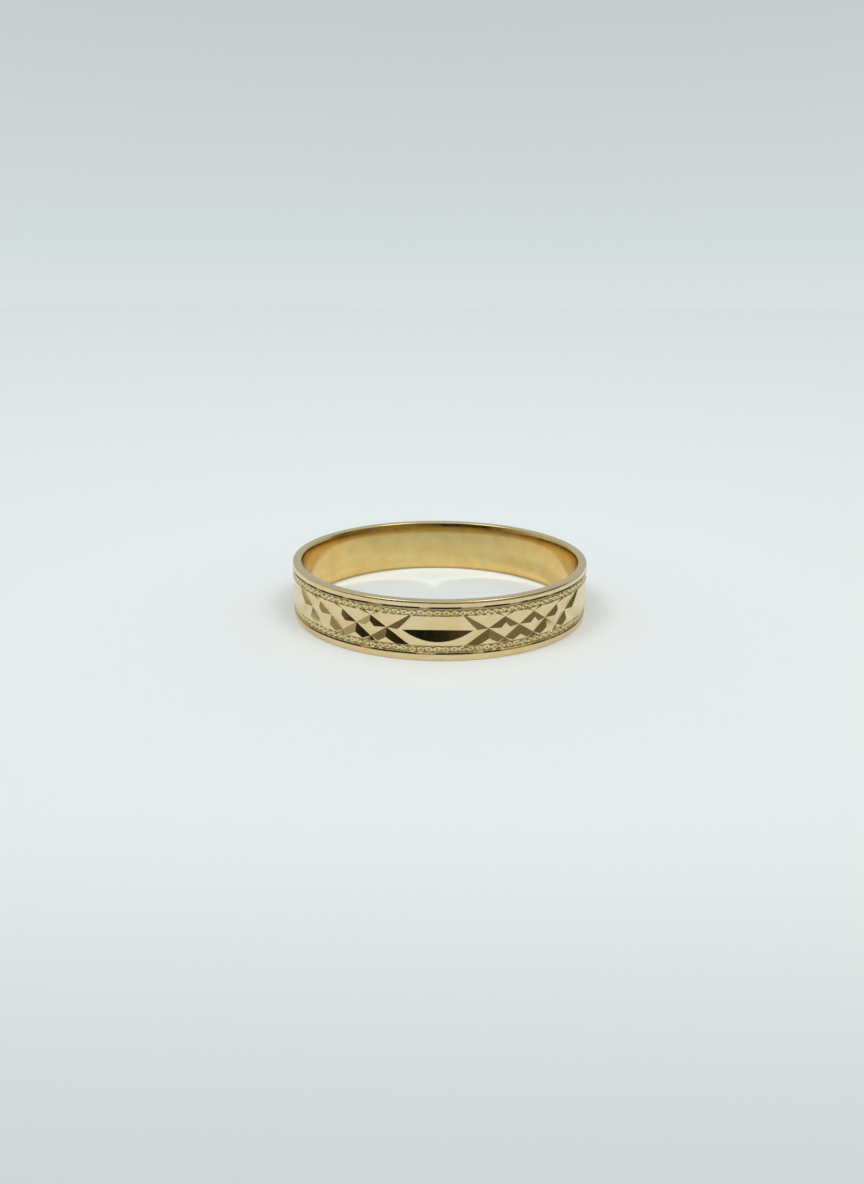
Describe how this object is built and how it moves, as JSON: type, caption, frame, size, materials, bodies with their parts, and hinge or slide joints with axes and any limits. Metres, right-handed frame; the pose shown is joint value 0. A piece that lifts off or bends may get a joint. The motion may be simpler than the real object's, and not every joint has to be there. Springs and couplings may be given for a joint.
{
  "type": "wedding band",
  "caption": "Flat-sided yellow gold wedding band with turned grooves, milgrain bead rows and a bright-cut band of eyes and crosses.",
  "frame": {"origin": "centre of the ring on its lower edge face, so the ring rests on the plane z = 0", "axes": "+Z along the finger axis, out of the upper edge face; -Y through the middle of one long eye cut"},
  "size_m": [0.0216, 0.0216, 0.004],
  "materials": {
    "yellow_gold": "polished yellow gold, with mirror-bright tool cuts, satin edge faces and a lightly brushed bore"
  },
  "bodies": {
    "root": {"band": "yellow_gold"}
  },
  "joints": []
}
